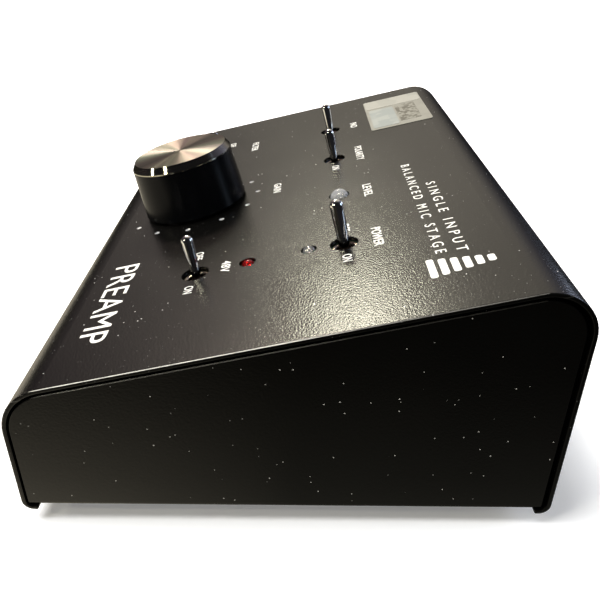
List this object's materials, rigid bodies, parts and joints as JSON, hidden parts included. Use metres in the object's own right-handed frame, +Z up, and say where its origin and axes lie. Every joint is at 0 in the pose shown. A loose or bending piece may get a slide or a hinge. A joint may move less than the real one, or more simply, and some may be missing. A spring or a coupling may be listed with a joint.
{
  "type": "microphone preamp",
  "caption": "Desktop microphone preamp in a black sloping sheet-metal case, with a large gain knob, bat-handle toggle switches, indicator lamps and rear XLR sockets.",
  "frame": {"origin": "on the surface that the feet stand on, under the middle of the bounding box", "axes": "+X to the unit's right along its width, +Y to its rear, the high side with the connectors, +Z up"},
  "size_m": [0.16, 0.1138, 0.0577],
  "materials": {
    "case_black": "fine-textured black powder coat, satin",
    "rubber": "matte",
    "screw_steel": "zinc plated",
    "connector_screw_black": "black oxide",
    "board_green": "solder mask",
    "brass": "turned",
    "knob_black": "satin",
    "knob_cap": "spun, with a bevelled edge",
    "shaft_steel": "turned",
    "pot_case": "pressed",
    "tinned_copper": "tinned",
    "lever_chrome": "polished",
    "bushing_nickel": "nickel plated",
    "switch_plastic": "moulded",
    "led_red": "tinted clear epoxy",
    "led_clear": "clear epoxy",
    "white_print": "screen-printed ink",
    "connector_black": "black, satin",
    "insert_plastic": "moulded",
    "contact_gold": "gold plated",
    "latch_metal": "nickel plated",
    "capacitor_sleeve": "shrunk sleeve",
    "relay_case": "moulded",
    "sink_aluminium": "black anodised",
    "ribbon_grey": "extruded"
  },
  "bodies": {
    "root": {"amplifier_chips": "insert_plastic", "base_tray": "case_black", "board_screws": "screw_steel", "board_standoffs": "brass", "case_screws": "screw_steel", "connector_screws": "connector_screw_black", "control_board": "board_green", "electrolytic_capacitors": "capacitor_sleeve", "filter_switch_bushing": "bushing_nickel", "filter_switch_housing": "switch_plastic", "front_left_foot": "rubber", "front_right_foot": "rubber", "heat_sink": "sink_aluminium", "input_xlr_contacts": "contact_gold", "input_xlr_insert": "insert_plastic", "input_xlr_shell": "connector_black", "led_leads": "tinned_copper", "level_led": "led_clear", "m3_nuts": "screw_steel", "main_board": "board_green", "output_xlr_insert": "insert_plastic", "output_xlr_pins": "contact_gold", "output_xlr_shell": "connector_black", "pad_switch_bushing": "bushing_nickel", "pad_switch_housing": "switch_plastic", "panel_standoffs": "brass", "phantom_led": "led_red", "phantom_switch_bushing": "bushing_nickel", "phantom_switch_housing": "switch_plastic", "polarity_switch_bushing": "bushing_nickel", "polarity_switch_housing": "switch_plastic", "pot_body": "pot_case", "pot_bushing": "brass", "pot_nut": "screw_steel", "pot_terminals": "tinned_copper", "pot_washer": "screw_steel", "power_jack_body": "insert_plastic", "power_jack_pin": "latch_metal", "power_led": "led_clear", "power_switch_bushing": "bushing_nickel", "power_switch_housing": "switch_plastic", "rear_left_foot": "rubber", "rear_right_foot": "rubber", "relays": "relay_case", "ribbon_cable": "ribbon_grey", "ribbon_sockets": "insert_plastic", "serial_label": "white_print", "switch_terminals": "tinned_copper", "top_cover": "case_black", "voltage_regulator": "insert_plastic"},
    "gain_knob": {"gain_knob_body": "knob_black", "gain_knob_cap": "knob_cap", "knob_set_screw": "screw_steel", "pot_shaft": "shaft_steel"},
    "input_latch": {"input_xlr_latch": "latch_metal"},
    "phantom_toggle": {"phantom_lever": "lever_chrome"},
    "power_toggle": {"power_lever": "lever_chrome"},
    "polarity_toggle": {"polarity_lever": "lever_chrome"},
    "pad_toggle": {"pad_lever": "lever_chrome"},
    "filter_toggle": {"filter_lever": "lever_chrome"}
  },
  "joints": [
    {"name": "gain_turn", "type": "hinge", "parent": "root", "child": "gain_knob", "pos_m": [-0.0014, -0.03099, 0.04667], "axis": [0, 0.2309, -0.973], "range_deg": [0, 300]},
    {"name": "phantom_tilt", "type": "hinge", "parent": "root", "child": "phantom_toggle", "pos_m": [0.0442, -0.02261, 0.03735], "axis": [0, 0.973, 0.2309], "range_deg": [0, 26]},
    {"name": "power_tilt", "type": "hinge", "parent": "root", "child": "power_toggle", "pos_m": [0.0443, 0.01095, 0.04532], "axis": [0, 0.973, 0.2309], "range_deg": [0, 26]},
    {"name": "polarity_tilt", "type": "hinge", "parent": "root", "child": "polarity_toggle", "pos_m": [-0.0148, 0.01134, 0.04541], "axis": [0, 0.973, 0.2309], "range_deg": [0, 26]},
    {"name": "pad_tilt", "type": "hinge", "parent": "root", "child": "pad_toggle", "pos_m": [-0.045, 0.01134, 0.04541], "axis": [0, 0.973, 0.2309], "range_deg": [0, 26]},
    {"name": "filter_tilt", "type": "hinge", "parent": "root", "child": "filter_toggle", "pos_m": [-0.043, -0.02651, 0.03643], "axis": [0, 0.973, 0.2309], "range_deg": [0, 26]},
    {"name": "latch_push", "type": "slide", "parent": "root", "child": "input_latch", "axis": [0, -1, 0], "range_m": [0, 0.0013], "stiffness_N_per_m": 400}
  ]
}
